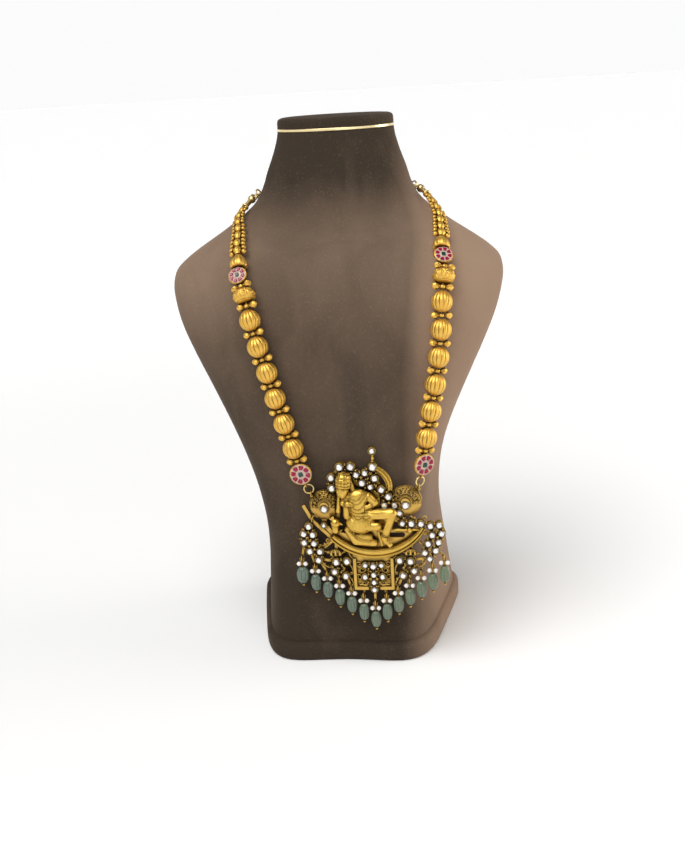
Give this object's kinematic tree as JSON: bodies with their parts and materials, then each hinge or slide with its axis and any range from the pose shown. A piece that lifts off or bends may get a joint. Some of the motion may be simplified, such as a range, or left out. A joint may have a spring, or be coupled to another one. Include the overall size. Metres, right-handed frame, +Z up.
{
  "type": "temple necklace on a neck bust",
  "caption": "Gold temple necklace with ribbed ball strings, stone-set relief pendant and green drop fringe, draped on a plain velvet neck bust.",
  "frame": {"origin": "on the surface it stands on, under the middle of the whole piece's box", "axes": "+Z up, -Y towards the front of the bust, +X to the right seen from the front"},
  "size_m": [0.1868, 0.1274, 0.301],
  "materials": {
    "velvet": "soft short pile velvet",
    "strip_gold": "thin gilt strip",
    "ball_gold": "matte gold plate, warm",
    "figure_gold": "antique matte gold plate, yellower",
    "plate_gold": "antique gold plate with dark recesses",
    "chain_gold": "satin gold plate",
    "enamel": "white enamel between the rubies",
    "ruby": "polished, cut",
    "emerald": "polished, cut",
    "white_stone": "foil-backed flat cut stones",
    "pearl": "pearl lustre",
    "green_drop": "translucent carved stone",
    "thread": "waxed thread"
  },
  "bodies": {
    "root": {"bust": "velvet", "bust_foot": "velvet", "neck_band": "strip_gold", "neck_cap": "velvet", "ball_l1": "ball_gold", "ball_l2": "ball_gold", "ball_l3": "ball_gold", "ball_l4": "ball_gold", "ball_l5": "ball_gold", "ball_l6": "ball_gold", "ball_r1": "ball_gold", "ball_r2": "ball_gold", "ball_r3": "ball_gold", "ball_r4": "ball_gold", "ball_r5": "ball_gold", "ball_r6": "ball_gold", "carved_ball_l": "ball_gold", "carved_ball_r": "ball_gold", "rosette_low_l": "ball_gold", "rosette_low_r": "ball_gold", "rosette_high_l": "ball_gold", "rosette_high_r": "ball_gold", "ruby_stones": "ruby", "emerald_stones": "emerald", "spacers_l": "ball_gold", "spacers_r": "ball_gold", "bead_band_l": "ball_gold", "bead_band_r": "ball_gold", "thread_l": "thread", "thread_r": "thread", "end_balls": "chain_gold", "end_links": "chain_gold", "back_chain": "chain_gold", "clasp_hook": "chain_gold", "clasp_ring": "chain_gold", "pendant_plate": "plate_gold", "boat": "figure_gold", "figure": "figure_gold", "bird": "figure_gold", "domes": "plate_gold", "feather": "figure_gold", "spire": "figure_gold", "crest_stones": "white_stone", "fringe_stones": "white_stone", "pearls": "pearl", "drop_pins": "chain_gold", "drop_1": "green_drop", "drop_2": "green_drop", "drop_3": "green_drop", "drop_4": "green_drop", "drop_5": "green_drop", "drop_6": "green_drop", "drop_7": "green_drop", "drop_8": "green_drop", "drop_9": "green_drop", "drop_10": "green_drop", "drop_11": "green_drop", "drop_12": "green_drop", "drop_13": "green_drop"}
  },
  "joints": []
}
